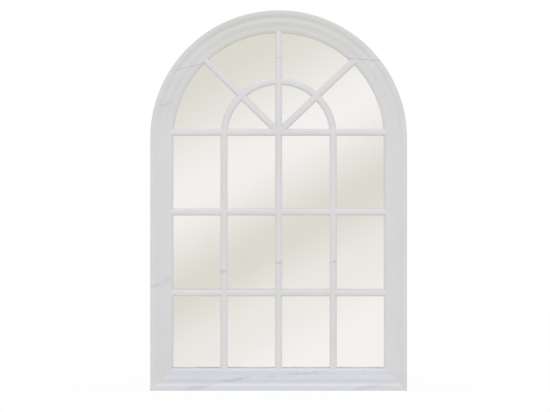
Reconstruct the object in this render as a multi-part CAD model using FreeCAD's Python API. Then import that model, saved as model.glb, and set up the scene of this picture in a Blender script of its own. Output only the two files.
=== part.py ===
import FreeCAD, Part
import math
import os

# Arched window mirror. A moulded stone frame and a fanlight of round-edged bars stand in front of one
# mirror sheet. A board closes the back, and two strap hangers with rings carry the mirror on a wall.
# X runs to the viewer's right, Y towards the wall and Z up. The origin lies on the wall, half way
# between the two hooks. In the functions, heights start at the frame's bottom edge, and depths start
# at the frame's back and grow towards the viewer.

Vector = FreeCAD.Vector
ACROSS = Vector(1, 0, 0)
TO_WALL = Vector(0, 1, 0)
UP = Vector(0, 0, 1)
LEFT = -1
RIGHT = 1
SIDES = {"left": LEFT, "right": RIGHT}

# Outline of the frame
WIDTH = 810.0
SPRING_HEIGHT = 795.0           # bottom edge to the centre of the arch

# Frame moulding, from the mirror outwards
LIP_HEIGHT = 10.5               # straight inner side above the mirror
EDGE_WIDTH = 16.0               # rounded inner edge
EDGE_RISE = 6.5
FASCIA_WIDTH = 4.0              # flat band
SLOPE_WIDTH = 12.0              # straight slope up to the ridge
SLOPE_RISE = 4.5
RIDGE_WIDTH = 4.5               # round at the top of the slope
FALL_WIDTH = 7.5                # round fall behind the ridge
FALL_DROP = 1.6
OGEE_WIDTH = 18.0               # hollow and round that climb to the outer band
OGEE_RISE = 6.0
OUTER_BAND = 5.0                # flat outer band
OUTER_RADIUS = 4.0              # rounded outer edge

# Rebates in the back of the frame
GLASS_LAP = 10.0                # from the sight edge to the end of the mirror's rebate
BOARD_LAP = 26.0                # from the sight edge to the end of the board's rebate
GLASS_THICKNESS = 4.0
BOARD_THICKNESS = 6.0
GLASS_GAP = 1.0                 # room round the mirror's edge
BOARD_GAP = 0.5                 # room round the board's edge

# Joints of the frame
JOINT_ANGLE = {LEFT: 45.3, RIGHT: 49.5}     # where a crown joint meets the sight edge, in degrees
JOINT_TILT = {LEFT: 13.0, RIGHT: 5.0}       # how far it falls outwards, in degrees
JOINT_GAP = 0.8                 # bed of resin
DOWEL_RADIUS = 4.0
DOWEL_LENGTH = 40.0
MITRE_DOWEL_RADIUS = 3.0
MITRE_DOWEL_LENGTH = 36.0
DOWEL_SHARES = (0.40, 0.67)     # along a joint, from the mirror outwards
BED = 0.05                      # room round dowels, pins and plugs

# Glazing bars
BAR_WIDTH = 22.0
BAR_EDGE_WIDTH = 9.0            # rounded edges beside a bar's narrow flat face
BAR_EDGE_RISE = 6.0
BAR_SET_BACK = 1.5              # highest bar below the flat band of the frame
SCRIBE_STEP = 0.3               # a bar that is scribed to another is this much lower
LAP_DEPTH = 4.0                 # half of a crossing that the cross bar keeps
LAP_GAP = 0.1
TRANSOM_RISE = 20.0             # transom above the centre of the frame's arch
FAN_RISE = 8.5                  # centre of the inner arch above the centre of the frame's arch
LOWER_DROP = 3.5                # lower cross bar below an even division
COLUMNS = 4
ROWS = 3
SPOKE_ANGLE = {LEFT: 44.6, RIGHT: 43.6}     # in degrees from the transom
PIN_RADIUS = 2.0
PIN_LENGTH = 20.0
PIN_RISE = 4.0                  # pins above the mirror

# Board fixings
SCREW_RADIUS = 1.75
SCREW_LENGTH = 18.0
SCREW_HEAD_RADIUS = 3.5
SCREW_HEAD_HEIGHT = 2.2
SCREW_GAP = 0.25                # room round the screw in the board
PLUG_RADIUS = 3.0
PLUG_LENGTH = 13.0
PLUG_END_ROOM = 1.0             # hole beyond the end of a plug
SIDE_SCREWS = 3
ARCH_SCREWS = 5
BOTTOM_SCREWS = 3

# Strap hangers and their rings
HINGE_HEIGHT = 800.0            # ring's pivot above the bottom edge
STRAP_WIDTH = 20.0
STRAP_LENGTH = 40.0
STRAP_SHEET = 1.2               # the strip is folded, so the strap is two sheets thick
STRAP_SLOPE = 35.0              # fall of the folded sheet behind the eye, in degrees
WIRE_RADIUS = 2.0
PIVOT_GAP = 0.1
RING_SIDE_GAP = 0.5             # between the strap's edge and the ring's legs
RING_CORNER = 2.5
RING_LEG = 8.0
RING_REST_GAP = 0.3             # ring's bow off the frame's back
HANGER_SCREW_RADIUS = 2.0
HANGER_SCREW_LENGTH = 21.0
HANGER_HEAD_RADIUS = 4.0
HANGER_HEAD_HEIGHT = 2.3
HANGER_SCREW_GAP = 0.2
HANGER_SCREW_DROPS = (13.0, 30.0)   # from the pivot down
HANGER_PLUG_RADIUS = 3.5
HANGER_PLUG_LENGTH = 20.0

# Wall bumpers
BUMPER_HEIGHT = 8.0
BUMPER_FOOT_RADIUS = 10.0
BUMPER_FACE_RADIUS = 8.5
BUMPER_EDGE_RADIUS = 1.5        # rounded rim of the face
BUMPER_RISE = 70.0              # above the bottom edge

OVERRUN = 5.0                   # how far a cutting solid runs past what it cuts

# Worked out from the sizes above
RIDGE_PLACE = EDGE_WIDTH + FASCIA_WIDTH + SLOPE_WIDTH + RIDGE_WIDTH
FRAME_FACE = RIDGE_PLACE + FALL_WIDTH + OGEE_WIDTH + OUTER_BAND + OUTER_RADIUS
HALF_WIDTH = WIDTH / 2
SIGHT_HALF = HALF_WIDTH - FRAME_FACE
GLASS_FRONT = BOARD_THICKNESS + GLASS_THICKNESS
FASCIA_LEVEL = GLASS_FRONT + LIP_HEIGHT + EDGE_RISE
SLOPE_LEVEL = FASCIA_LEVEL + SLOPE_RISE
RIDGE_RISE = RIDGE_WIDTH * math.tan(math.atan2(SLOPE_RISE, SLOPE_WIDTH) / 2)
VALLEY_LEVEL = SLOPE_LEVEL + RIDGE_RISE - FALL_DROP
FRAME_DEPTH = VALLEY_LEVEL + OGEE_RISE
DOWEL_LEVEL = (GLASS_FRONT + FASCIA_LEVEL) / 2
PIN_LEVEL = GLASS_FRONT + PIN_RISE
BACK_Y = -BUMPER_HEIGHT
ARCH_CENTRE = Vector(0, 0, SPRING_HEIGHT)

BAR_PITCH = (2 * SIGHT_HALF + BAR_WIDTH) / COLUMNS
TRANSOM_HEIGHT = SPRING_HEIGHT + TRANSOM_RISE
ROW_PITCH = (TRANSOM_HEIGHT + BAR_WIDTH / 2 - FRAME_FACE) / ROWS
LOWER_CROSS_HEIGHT = TRANSOM_HEIGHT - 2 * ROW_PITCH - LOWER_DROP
UPPER_CROSS_HEIGHT = TRANSOM_HEIGHT - ROW_PITCH
CROSS_HEIGHTS = (LOWER_CROSS_HEIGHT, UPPER_CROSS_HEIGHT, TRANSOM_HEIGHT)
FAN_CENTRE = Vector(0, 0, SPRING_HEIGHT + FAN_RISE)
FAN_RADIUS = math.hypot(BAR_PITCH, TRANSOM_RISE - FAN_RISE)

HANGER_X = (SIGHT_HALF + BOARD_LAP + HALF_WIDTH) / 2
EYE_RADIUS = WIRE_RADIUS + PIVOT_GAP
EYE_OUTER = EYE_RADIUS + STRAP_SHEET
HINGE_Y = BACK_Y + EYE_OUTER
RING_HALF = STRAP_WIDTH / 2 + RING_SIDE_GAP + WIRE_RADIUS
RING_REACH = RING_LEG + RING_HALF
RING_LEAN = math.degrees(math.asin((EYE_OUTER - WIRE_RADIUS - RING_REST_GAP) / RING_REACH))
HOOK_HEIGHT = HINGE_HEIGHT + RING_REACH - WIRE_RADIUS


def point(x, depth, height):
    return Vector(x, BACK_Y - depth, height)


def line(start, end):
    return Part.LineSegment(start, end).toShape()


def arc(start, middle, end):
    return Part.Arc(start, middle, end).toShape()


def path(place, corners):
    """Straight edges through corners, which place turns into points."""
    points = [place(*corner) for corner in corners]
    return [line(start, end) for start, end in zip(points, points[1:])]


def climb(place, foot, top, level, rise):
    """A round that climbs from its foot and ends level at its top. A negative rise makes a hollow."""
    run = top - foot
    radius = (run ** 2 + rise ** 2) / (2 * rise)
    half_turn = math.asin(abs(run) / radius) / 2
    crest = level + rise
    middle = top - math.copysign(radius * math.sin(half_turn), run)
    middle_level = crest - radius * (1 - math.cos(half_turn))
    return arc(place(foot, level), place(middle, middle_level), place(top, crest))


def slab(corners, depth_from, depth_to):
    """An outline of (x, height) corners made solid between two depths."""
    points = [point(x, depth_from, height) for x, height in corners]
    outline = Part.Face(Part.makePolygon(points + points[:1]))
    return outline.extrude(TO_WALL * (depth_from - depth_to))


def through_cut(corners):
    """An outline of (x, height) corners that cuts through the whole depth of the frame."""
    return slab(corners, -OVERRUN, FRAME_DEPTH + OVERRUN)


def rod(centre, direction, length, radius):
    return Part.makeCylinder(radius, length, centre - direction * (length / 2), direction)


def rods(places, length, radius):
    return [rod(centre, direction, length, radius) for centre, direction in places]


def around_arch(radius, degrees):
    """The (x, height) of a point on a circle round the centre of the arch."""
    angle = math.radians(degrees)
    return radius * math.cos(angle), SPRING_HEIGHT + radius * math.sin(angle)


# Frame

def frame_section(place):
    """The moulding and its rebates. place takes the distance from the sight edge and the depth."""
    lip = GLASS_FRONT + LIP_HEIGHT
    slope = EDGE_WIDTH + FASCIA_WIDTH
    ridge_foot = slope + SLOPE_WIDTH
    ogee = RIDGE_PLACE + FALL_WIDTH
    band = ogee + OGEE_WIDTH
    half_way = (ogee + band) / 2
    half_rise = OGEE_RISE / 2
    side_top = FRAME_DEPTH - OUTER_RADIUS
    edges = path(place, [(BOARD_LAP, 0), (BOARD_LAP, BOARD_THICKNESS), (GLASS_LAP, BOARD_THICKNESS),
                         (GLASS_LAP, GLASS_FRONT), (0, GLASS_FRONT), (0, lip)])
    edges.append(climb(place, 0, EDGE_WIDTH, lip, EDGE_RISE))
    edges += path(place, [(EDGE_WIDTH, FASCIA_LEVEL), (slope, FASCIA_LEVEL), (ridge_foot, SLOPE_LEVEL)])
    edges.append(climb(place, ridge_foot, RIDGE_PLACE, SLOPE_LEVEL, RIDGE_RISE))
    edges.append(climb(place, ogee, RIDGE_PLACE, VALLEY_LEVEL, FALL_DROP))
    edges.append(climb(place, half_way, ogee, VALLEY_LEVEL + half_rise, -half_rise))
    edges.append(climb(place, half_way, band, VALLEY_LEVEL + half_rise, half_rise))
    edges += path(place, [(band, FRAME_DEPTH), (band + OUTER_BAND, FRAME_DEPTH)])
    edges.append(climb(place, FRAME_FACE, band + OUTER_BAND, side_top, OUTER_RADIUS))
    edges += path(place, [(FRAME_FACE, side_top), (FRAME_FACE, 0), (BOARD_LAP, 0)])
    return Part.Face(Part.Wire(Part.__sortEdges__(edges)))


def jamb_section(side, height):
    return frame_section(lambda out, depth: point(side * (SIGHT_HALF + out), depth, height))


def arch_ring():
    """The whole moulded arch, of which the crown and the crown joints are parts."""
    return jamb_section(RIGHT, SPRING_HEIGHT).revolve(ARCH_CENTRE, -TO_WALL, 180)


def joint_height(side, out, shift):
    """Height of a crown joint at a distance out from the centre line, moved up by shift."""
    inner_x, inner_height = around_arch(SIGHT_HALF, JOINT_ANGLE[side])
    tilt = math.radians(JOINT_TILT[side])
    return inner_height - (out - inner_x) * math.tan(tilt) + shift / math.cos(tilt)


def below_joint(side, shift):
    reach = HALF_WIDTH + OVERRUN
    return through_cut([(0, joint_height(side, 0, shift)),
                        (side * reach, joint_height(side, reach, shift)),
                        (side * reach, -OVERRUN), (0, -OVERRUN)])


def crown_joint_resin():
    beds = []
    for side in SIDES.values():
        bed = below_joint(side, JOINT_GAP / 2).cut(below_joint(side, -JOINT_GAP / 2))
        beds.append(bed.common(arch_ring()))
    return beds


def mitre_line(side):
    """Both ends of the mitre, run past the outer and the inner corner."""
    reach = FRAME_FACE + OVERRUN
    return (side * (HALF_WIDTH + OVERRUN), -OVERRUN), (side * (HALF_WIDTH - reach), reach)


def jamb(side):
    """A side of the frame, from the mitre through the start of the arch to the crown joint."""
    post = jamb_section(side, 0).extrude(UP * SPRING_HEIGHT)
    springer = jamb_section(side, SPRING_HEIGHT).revolve(ARCH_CENTRE, TO_WALL * -side, 90)
    outer, inner = mitre_line(side)
    below_mitre = through_cut([outer, inner, (inner[0], outer[1])])
    return post.fuse(springer).cut(below_mitre).common(below_joint(side, -JOINT_GAP / 2))


def crown():
    return arch_ring().cut([below_joint(side, JOINT_GAP / 2) for side in SIDES.values()])


def bottom_rail():
    section = frame_section(lambda out, depth: point(-HALF_WIDTH, depth, FRAME_FACE - out))
    rail = section.extrude(ACROSS * WIDTH)
    for side in SIDES.values():
        outer, inner = mitre_line(side)
        rail = rail.cut(through_cut([outer, inner, (outer[0], inner[1])]))
    return rail


def crown_dowel_places():
    places = []
    for side in SIDES.values():
        inner_x, inner_height = around_arch(SIGHT_HALF, JOINT_ANGLE[side])
        tilt = math.radians(JOINT_TILT[side])
        outwards = Vector(side * math.cos(tilt), 0, -math.sin(tilt))
        start = point(side * inner_x, DOWEL_LEVEL, inner_height)
        towards = (start - point(0, DOWEL_LEVEL, SPRING_HEIGHT)).dot(outwards)
        length = math.sqrt(towards ** 2 - SIGHT_HALF ** 2 + HALF_WIDTH ** 2) - towards
        upwards = Vector(side * math.sin(tilt), 0, math.cos(tilt))
        places += [(start + outwards * (length * share), upwards) for share in DOWEL_SHARES]
    return places


def mitre_dowel_places():
    places = []
    for side in SIDES.values():
        square_to_mitre = Vector(side, 0, 1).normalize()
        for share in DOWEL_SHARES:
            out = FRAME_FACE * share
            places.append((point(side * (SIGHT_HALF + out), DOWEL_LEVEL, FRAME_FACE - out), square_to_mitre))
    return places


# Glazing bars

def bar_crown(rank):
    """Depth of a bar's top. Rank 0 runs through, and each further rank is scribed to the one before."""
    return FASCIA_LEVEL - BAR_SET_BACK - rank * SCRIBE_STEP


def bar_section(place, rank):
    """A bar with a narrow flat and rounded edges. place takes the distance from the middle and the depth."""
    half = BAR_WIDTH / 2
    flat = half - BAR_EDGE_WIDTH
    face = bar_crown(rank)
    shoulder = face - BAR_EDGE_RISE
    edges = path(place, [(-half, shoulder), (-half, GLASS_FRONT), (half, GLASS_FRONT), (half, shoulder)])
    edges.append(climb(place, half, flat, shoulder, BAR_EDGE_RISE))
    edges += path(place, [(flat, face), (-flat, face)])
    edges.append(climb(place, -half, -flat, shoulder, BAR_EDGE_RISE))
    return Part.Face(Part.Wire(Part.__sortEdges__(edges)))


def straight_bar(start, end, rank):
    """A bar between two (x, height) points on its centre line."""
    run = Vector(end[0] - start[0], 0, end[1] - start[1])
    sideways = run.cross(TO_WALL).normalize()

    def place(aside, depth):
        return point(start[0], depth, start[1]) + sideways * aside
    return bar_section(place, rank).extrude(run)


def lap_notch(x, height):
    """Space in the back of an upright bar for the half of a cross bar that runs through."""
    half = BAR_WIDTH / 2
    left, right = x - half - OVERRUN, x + half + OVERRUN
    low, high = height - half - LAP_GAP, height + half + LAP_GAP
    corners = [(left, low), (right, low), (right, high), (left, high)]
    return slab(corners, GLASS_FRONT - OVERRUN, GLASS_FRONT + LAP_DEPTH)


def upright_bar(x, top, rank):
    return straight_bar((x, FRAME_FACE - EDGE_WIDTH), (x, top), rank)


def cross_bar(height, rank):
    reach = SIGHT_HALF + EDGE_WIDTH
    return straight_bar((-reach, height), (reach, height), rank)


def spoke(side, rank):
    """A bar from the crossing of transom and centre bar out to the rounded edge of the arch."""
    angle = math.radians(SPOKE_ANGLE[side])
    reach = SIGHT_HALF + EDGE_WIDTH
    length = math.sqrt(reach ** 2 - (TRANSOM_RISE * math.cos(angle)) ** 2) - TRANSOM_RISE * math.sin(angle)
    end = (side * length * math.cos(angle), TRANSOM_HEIGHT + length * math.sin(angle))
    return straight_bar((0, TRANSOM_HEIGHT), end, rank)


def arch_quarter(side, rank):
    """Half of the inner arch, from the middle of the transom to the centre line."""
    first = math.degrees(math.asin((TRANSOM_RISE - FAN_RISE) / FAN_RADIUS))
    upwards = TO_WALL * -side
    section = bar_section(lambda out, depth: point(side * (FAN_RADIUS + out), depth, FAN_CENTRE.z), rank)
    section.rotate(FAN_CENTRE, upwards, first)
    return section.revolve(FAN_CENTRE, upwards, 90 - first)


def bar_pin_places():
    places = [(point(x, PIN_LEVEL, FRAME_FACE), UP) for x in (-BAR_PITCH, 0, BAR_PITCH)]
    places.append((point(0, PIN_LEVEL, SPRING_HEIGHT + SIGHT_HALF), UP))
    for side in SIDES.values():
        places += [(point(side * SIGHT_HALF, PIN_LEVEL, height), ACROSS) for height in CROSS_HEIGHTS]
    return places


def bars(frame):
    """All glazing bars by name, scribed to the frame and to each other."""
    top = SPRING_HEIGHT + SIGHT_HALF + EDGE_WIDTH
    whole_centre = upright_bar(0, top, 0)
    whole_transom = cross_bar(TRANSOM_HEIGHT, 1)
    centre = whole_centre.cut([lap_notch(0, height) for height in CROSS_HEIGHTS])
    made = {"centre_bar": centre, "transom_bar": whole_transom.cut(centre)}
    uprights = [centre]
    for name, side in SIDES.items():
        x = side * BAR_PITCH
        notches = [lap_notch(x, height) for height in CROSS_HEIGHTS[:-1]]
        bar = upright_bar(x, TRANSOM_HEIGHT, 2).cut(notches + [whole_transom])
        uprights.append(bar)
        made[name + "_bar"] = bar
        made[name + "_spoke"] = spoke(side, 2).cut([whole_centre, whole_transom])
        pieces = arch_quarter(side, 3).cut([whole_centre, whole_transom, made[name + "_spoke"]]).Solids
        pieces.sort(key=lambda piece: piece.CenterOfMass.z)
        made[name + "_arch_foot"], made[name + "_arch_top"] = pieces
    made["lower_cross_bar"] = cross_bar(LOWER_CROSS_HEIGHT, 3).cut(uprights)
    made["upper_cross_bar"] = cross_bar(UPPER_CROSS_HEIGHT, 3).cut(uprights)
    return {name: bar.cut(frame) for name, bar in made.items()}


# Mirror sheet, board and their fixings

def arched_plate(lap, depth_from, depth_to):
    """A plate with the outline of the opening, made larger by lap."""
    half = SIGHT_HALF + lap
    low = FRAME_FACE - lap
    edges = path(lambda x, height: point(x, depth_from, height),
                 [(-half, SPRING_HEIGHT), (-half, low), (half, low), (half, SPRING_HEIGHT)])
    edges.append(arc(point(half, depth_from, SPRING_HEIGHT), point(0, depth_from, SPRING_HEIGHT + half),
                     point(-half, depth_from, SPRING_HEIGHT)))
    return Part.Face(Part.Wire(edges)).extrude(TO_WALL * (depth_from - depth_to))


def board_screw_places():
    """The (x, height) of each screw, along the middle of the step that the board rests on."""
    lap = (GLASS_LAP + BOARD_LAP) / 2
    half = SIGHT_HALF + lap
    low = FRAME_FACE - lap
    places = [(half * (2 * turn + 1 - BOTTOM_SCREWS) / BOTTOM_SCREWS, low) for turn in range(BOTTOM_SCREWS)]
    places += [around_arch(half, 180 * (2 * turn + 1) / (2 * ARCH_SCREWS)) for turn in range(ARCH_SCREWS)]
    for turn in range(SIDE_SCREWS):
        height = low + (SPRING_HEIGHT - low) * (2 * turn + 1) / (2 * SIDE_SCREWS)
        places += [(side * half, height) for side in SIDES.values()]
    return places


def countersunk(x, height, gap, length):
    """A screw, or with a gap the hole for it, from the back of the board inwards."""
    head = Part.makeCone(SCREW_HEAD_RADIUS + gap, SCREW_RADIUS + gap, SCREW_HEAD_HEIGHT,
                         point(x, 0, height), -TO_WALL)
    return head.fuse(Part.makeCylinder(SCREW_RADIUS + gap, length, point(x, 0, height), -TO_WALL))


def board_plug(x, height):
    foot = point(x, BOARD_THICKNESS, height)
    outside = Part.makeCylinder(PLUG_RADIUS, PLUG_LENGTH, foot, -TO_WALL)
    return outside.cut(Part.makeCylinder(SCREW_RADIUS + BED, PLUG_LENGTH, foot, -TO_WALL))


def board_plug_hole(x, height):
    return Part.makeCylinder(PLUG_RADIUS + BED, PLUG_LENGTH + PLUG_END_ROOM,
                             point(x, BOARD_THICKNESS, height), -TO_WALL)


def backing_board():
    board = arched_plate(BOARD_LAP - BOARD_GAP, 0, BOARD_THICKNESS)
    return board.cut([countersunk(x, height, SCREW_GAP, SCREW_LENGTH) for x, height in board_screw_places()])


# Hangers

def hanger_screw_places(side):
    return [(side * HANGER_X, HINGE_HEIGHT - drop) for drop in HANGER_SCREW_DROPS]


def strap(side):
    """A folded strip with a rolled eye for the ring, a rounded end and two screw holes."""
    slope = math.radians(STRAP_SLOPE)
    thickness = 2 * STRAP_SHEET
    half = STRAP_WIDTH / 2
    leave_drop = EYE_OUTER * math.sin(slope)
    leave_level = EYE_OUTER + EYE_OUTER * math.cos(slope)
    flat_drop = leave_drop + (leave_level - thickness) / math.tan(slope)
    start = side * HANGER_X - half

    def place(drop, level):
        return Vector(start, BACK_Y + level, HINGE_HEIGHT - drop)
    edges = path(place, [(0, 0), (STRAP_LENGTH, 0), (STRAP_LENGTH, thickness), (flat_drop, thickness),
                         (leave_drop, leave_level), (0, EYE_OUTER), (0, 0)])
    body = Part.Face(Part.Wire(edges)).extrude(ACROSS * STRAP_WIDTH)
    pivot = Vector(side * HANGER_X, HINGE_Y, HINGE_HEIGHT)
    body = body.fuse(rod(pivot, ACROSS, STRAP_WIDTH, EYE_OUTER))
    body = body.cut(rod(pivot, ACROSS, STRAP_WIDTH + OVERRUN, EYE_RADIUS))
    end_centre = Vector(side * HANGER_X, BACK_Y, HINGE_HEIGHT - STRAP_LENGTH + half)
    upper = Part.makeBox(STRAP_WIDTH, 2 * EYE_OUTER, STRAP_LENGTH, Vector(start, BACK_Y, end_centre.z))
    body = body.common(upper.fuse(Part.makeCylinder(half, 2 * EYE_OUTER, end_centre, TO_WALL)))
    holes = [Part.makeCylinder(HANGER_SCREW_RADIUS + HANGER_SCREW_GAP, thickness + OVERRUN,
                               point(x, 0, height), TO_WALL) for x, height in hanger_screw_places(side)]
    return body.cut(holes).removeSplitter()


def ring(side):
    """A closed D of round wire whose straight bar turns in the strap's eye. It leans on the frame."""
    bar = RING_HALF - RING_CORNER
    bend = RING_CORNER * (1 - math.sqrt(1 / 2))

    def place(x, rise):
        return Vector(side * HANGER_X + x, HINGE_Y, HINGE_HEIGHT + rise)
    edges = [line(place(-bar, 0), place(bar, 0)),
             arc(place(bar, 0), place(RING_HALF - bend, bend), place(RING_HALF, RING_CORNER)),
             line(place(RING_HALF, RING_CORNER), place(RING_HALF, RING_LEG)),
             arc(place(RING_HALF, RING_LEG), place(0, RING_REACH), place(-RING_HALF, RING_LEG)),
             line(place(-RING_HALF, RING_LEG), place(-RING_HALF, RING_CORNER)),
             arc(place(-RING_HALF, RING_CORNER), place(bend - RING_HALF, bend), place(-bar, 0))]
    wire = Part.Wire(Part.makeCircle(WIRE_RADIUS, place(-bar, 0), ACROSS))
    shape = Part.Wire(edges).makePipeShell([wire], True, True)
    shape.rotate(place(0, 0), ACROSS, RING_LEAN)
    return shape


def hanger_screw(x, height):
    seat = Vector(x, BACK_Y + 2 * STRAP_SHEET, height)
    head = Part.makeCylinder(HANGER_HEAD_RADIUS, HANGER_HEAD_HEIGHT, seat, TO_WALL)
    return head.fuse(Part.makeCylinder(HANGER_SCREW_RADIUS, HANGER_SCREW_LENGTH, seat, -TO_WALL))


def hanger_plug(x, height):
    outside = Part.makeCylinder(HANGER_PLUG_RADIUS, HANGER_PLUG_LENGTH, point(x, 0, height), -TO_WALL)
    return outside.cut(Part.makeCylinder(HANGER_SCREW_RADIUS + BED, HANGER_PLUG_LENGTH,
                                         point(x, 0, height), -TO_WALL))


def hanger_plug_hole(x, height):
    return Part.makeCylinder(HANGER_PLUG_RADIUS + BED, HANGER_PLUG_LENGTH + PLUG_END_ROOM,
                             point(x, 0, height), -TO_WALL)


def bumper(side):
    pad = Part.makeCone(BUMPER_FOOT_RADIUS, BUMPER_FACE_RADIUS, BUMPER_HEIGHT,
                        point(side * HANGER_X, 0, BUMPER_RISE), TO_WALL)
    rim = [edge for edge in pad.Edges if edge.Closed and edge.BoundBox.YMin > BACK_Y + BUMPER_HEIGHT / 2]
    return pad.makeFillet(BUMPER_EDGE_RADIUS, rim)


# The whole mirror

def assembly():
    """Every piece by name, as a list of solids, with the frame's bottom edge at height 0."""
    crown_dowels = crown_dowel_places()
    mitre_dowels = mitre_dowel_places()
    pins = bar_pin_places()
    board_screws = board_screw_places()
    hanger_screws = hanger_screw_places(LEFT) + hanger_screw_places(RIGHT)

    pin_holes = rods(pins, PIN_LENGTH + BED, PIN_RADIUS + BED)
    dowel_holes = rods(crown_dowels, DOWEL_LENGTH + BED, DOWEL_RADIUS + BED)
    dowel_holes += rods(mitre_dowels, MITRE_DOWEL_LENGTH + BED, MITRE_DOWEL_RADIUS + BED)
    plug_holes = [board_plug_hole(*place) for place in board_screws]
    plug_holes += [hanger_plug_hole(*place) for place in hanger_screws]

    frame = {"left_jamb": jamb(LEFT), "right_jamb": jamb(RIGHT), "arch_crown": crown(),
             "bottom_rail": bottom_rail()}
    resin = crown_joint_resin()
    made = {name: bar.cut(pin_holes) for name, bar in bars(list(frame.values()) + resin).items()}
    for name, member in frame.items():
        made[name] = member.cut(pin_holes + dowel_holes + plug_holes)
    made["crown_joint_resin"] = Part.makeCompound(resin).cut(dowel_holes)
    made["crown_dowels"] = rods(crown_dowels, DOWEL_LENGTH, DOWEL_RADIUS)
    made["mitre_dowels"] = rods(mitre_dowels, MITRE_DOWEL_LENGTH, MITRE_DOWEL_RADIUS)
    made["bar_pins"] = rods(pins, PIN_LENGTH, PIN_RADIUS)
    made["mirror_glass"] = arched_plate(GLASS_LAP - GLASS_GAP, BOARD_THICKNESS, GLASS_FRONT)
    made["backing_board"] = backing_board()
    made["board_screws"] = [countersunk(x, height, 0, SCREW_LENGTH) for x, height in board_screws]
    made["board_plugs"] = [board_plug(*place) for place in board_screws]
    for name, side in SIDES.items():
        made[name + "_hanger_strap"] = strap(side)
        made[name + "_hanger_ring"] = ring(side)
    made["hanger_screws"] = [hanger_screw(*place) for place in hanger_screws]
    made["hanger_plugs"] = [hanger_plug(*place) for place in hanger_screws]
    made["wall_bumpers"] = [bumper(side) for side in SIDES.values()]
    return made


def export(name, shape):
    """Write one piece, moved so that the hooks lie at height 0."""
    shapes = shape if isinstance(shape, list) else [shape]
    solids = [solid for each in shapes for solid in each.Solids]
    whole = solids[0] if len(solids) == 1 else Part.makeCompound(solids)
    whole.translated(UP * -HOOK_HEIGHT).exportStep(os.path.join("parts", name + ".step"))


os.makedirs("parts", exist_ok=True)
for piece_name, piece_shape in assembly().items():
    export(piece_name, piece_shape)
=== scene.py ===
import math

import bmesh
import bpy
from bpy.props import FloatProperty, FloatVectorProperty, IntProperty, PointerProperty
from bpy.types import Operator, Panel, PropertyGroup
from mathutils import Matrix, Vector


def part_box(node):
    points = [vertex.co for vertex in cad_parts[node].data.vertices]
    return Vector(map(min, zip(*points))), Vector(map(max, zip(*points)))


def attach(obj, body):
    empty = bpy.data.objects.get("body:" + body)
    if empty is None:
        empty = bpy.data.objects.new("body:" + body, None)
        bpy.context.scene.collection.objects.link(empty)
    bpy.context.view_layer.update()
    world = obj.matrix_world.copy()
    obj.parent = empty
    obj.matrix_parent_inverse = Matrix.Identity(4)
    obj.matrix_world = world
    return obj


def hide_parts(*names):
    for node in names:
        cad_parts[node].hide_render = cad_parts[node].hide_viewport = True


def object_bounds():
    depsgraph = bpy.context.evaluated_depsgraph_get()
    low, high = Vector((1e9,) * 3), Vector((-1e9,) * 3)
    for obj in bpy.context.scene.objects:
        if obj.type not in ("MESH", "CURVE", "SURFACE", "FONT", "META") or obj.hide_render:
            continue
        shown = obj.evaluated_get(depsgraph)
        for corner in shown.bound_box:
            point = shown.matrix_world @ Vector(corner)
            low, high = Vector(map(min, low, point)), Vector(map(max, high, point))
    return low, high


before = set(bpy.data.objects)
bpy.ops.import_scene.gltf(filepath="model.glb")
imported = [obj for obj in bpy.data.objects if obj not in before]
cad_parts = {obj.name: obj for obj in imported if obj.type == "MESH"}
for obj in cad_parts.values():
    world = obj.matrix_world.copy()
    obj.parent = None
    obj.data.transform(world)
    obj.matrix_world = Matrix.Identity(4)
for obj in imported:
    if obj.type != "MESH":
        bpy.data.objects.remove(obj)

# Finishes, screws and studio of an arched window mirror. X runs to the viewer's right, Y towards the
# wall and Z up, in metres, with the origin on the wall half way between the two hooks.

bl_info = {
    "name": "Arched window mirror",
    "version": (1, 0, 0),
    "blender": (4, 5, 0),
    "location": "3D View > Sidebar > Window Mirror",
    "description": "Gives an arched marble window mirror its finishes, its screws and a small studio",
    "category": "Object",
}

CAD_LOW, CAD_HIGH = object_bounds()
BOTTOM = CAD_LOW.z
FRAME_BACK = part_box("bottom_rail")[1].y
GLASS_LOW, GLASS_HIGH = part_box("mirror_glass")
BODY = "mirror"

JAMB_NODES = ("left_jamb", "right_jamb")
BAR_NODES = ("centre_bar", "left_bar", "right_bar", "transom_bar", "upper_cross_bar", "lower_cross_bar",
             "left_spoke", "right_spoke", "left_arch_foot", "left_arch_top", "right_arch_foot",
             "right_arch_top")
STRAP_NODES = ("left_hanger_strap", "right_hanger_strap")
RING_NODES = ("left_hanger_ring", "right_hanger_ring")
ROD_NODES = ("crown_dowels", "mitre_dowels", "bar_pins")
PLUG_NODES = ("board_plugs", "hanger_plugs")

# Veins of the marble: both ends as (x, height above the bottom edge), half width and strength
VEINS = (
    ((-0.430, 0.322), (-0.360, 0.340), 0.0060, 0.42),
    ((-0.385, 0.334), (-0.322, 0.358), 0.0140, 0.20),
    ((-0.210, 0.368), (-0.140, 0.382), 0.0085, 0.62),
    ((-0.030, 0.403), (0.030, 0.406), 0.0055, 0.52),
    ((0.130, 0.402), (0.220, 0.405), 0.0050, 0.50),
    ((-0.400, 0.889), (-0.310, 0.911), 0.0050, 0.30),
    ((-0.020, 1.050), (0.020, 1.050), 0.0024, 0.75),
    ((-0.600, 0.046), (0.600, 0.046), 0.0240, 0.16),
    ((-0.310, 0.001), (-0.190, 0.026), 0.0080, 0.42),
    ((-0.215, 0.024), (-0.045, 0.050), 0.0065, 0.60),
    ((-0.090, 0.042), (0.030, 0.050), 0.0070, 0.42),
    ((-0.010, 0.048), (0.160, 0.063), 0.0075, 0.48),
    ((0.225, 0.004), (0.350, 0.018), 0.0085, 0.42),
    # These two are dark spots at the outer bottom corners, drawn like veins
    ((-0.409, 0.001), (-0.394, 0.004), 0.0035, 0.90),
    ((0.390, 0.003), (0.409, 0.001), 0.0035, 0.80),
    ((-0.342, 0.075), (-0.333, 0.070), 0.0025, 0.60),
)

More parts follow.
